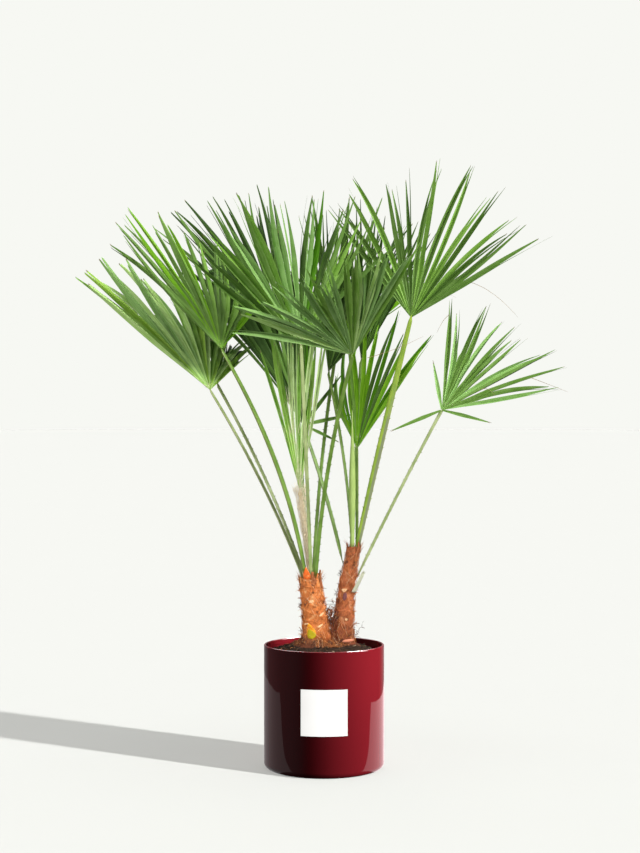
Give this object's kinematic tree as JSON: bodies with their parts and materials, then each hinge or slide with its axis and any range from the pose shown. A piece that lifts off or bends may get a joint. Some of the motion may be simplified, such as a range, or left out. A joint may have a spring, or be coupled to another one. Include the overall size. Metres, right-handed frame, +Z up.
{
  "type": "potted fan palm",
  "caption": "Small fan palm with short fibrous stems and stiff pleated fan leaves on slender stalks, growing in a round glossy planter pot with a blank label.",
  "frame": {"origin": "middle of the flat underside of the pot", "axes": "+Z up, -Y towards the viewer of the labelled side, +X to the viewer's right"},
  "size_m": [0.9649, 0.8528, 1.2215],
  "materials": {
    "pot_lacquer": "deep burgundy gloss lacquer",
    "label": "plain white satin paper",
    "soil": "dark bark-based potting mix with loose fibres",
    "stem_fibre": "orange-brown matted fibre over old leaf bases",
    "dry_stalk": "dry pale cut stalk",
    "stalk": "smooth green stalk with small thorns on its margins",
    "blade": "stiff pleated green leaf with a satin sheen",
    "young_blade": "pale young folded leaf"
  },
  "bodies": {
    "root": {"pot": "pot_lacquer", "soil": "soil", "blank_label": "label", "stem_left": "stem_fibre", "stem_right": "stem_fibre", "cut_stalk_stub": "dry_stalk", "spear_leaf": "young_blade", "stalk_right_upper": "stalk", "stalk_right_lower": "stalk", "stalk_far_left": "stalk", "stalk_left_upper": "stalk", "stalk_front": "stalk", "stalk_centre": "stalk", "stalk_inner_right": "stalk", "stalk_young": "stalk", "stalk_back_left": "stalk", "stalk_rear_left": "stalk", "stalk_rear_centre": "stalk", "stalk_rear_right": "stalk", "stalk_rear_high": "stalk", "stalk_far_left_rear": "stalk", "fan_right_upper": "blade", "fan_right_lower": "blade", "fan_far_left": "blade", "fan_left_upper": "blade", "fan_front": "blade", "fan_centre": "blade", "fan_inner_right": "blade", "fan_young": "young_blade", "fan_back_left": "blade", "fan_rear_left": "blade", "fan_rear_centre": "blade", "fan_rear_right": "blade", "fan_rear_high": "blade", "fan_far_left_rear": "blade"}
  },
  "joints": []
}
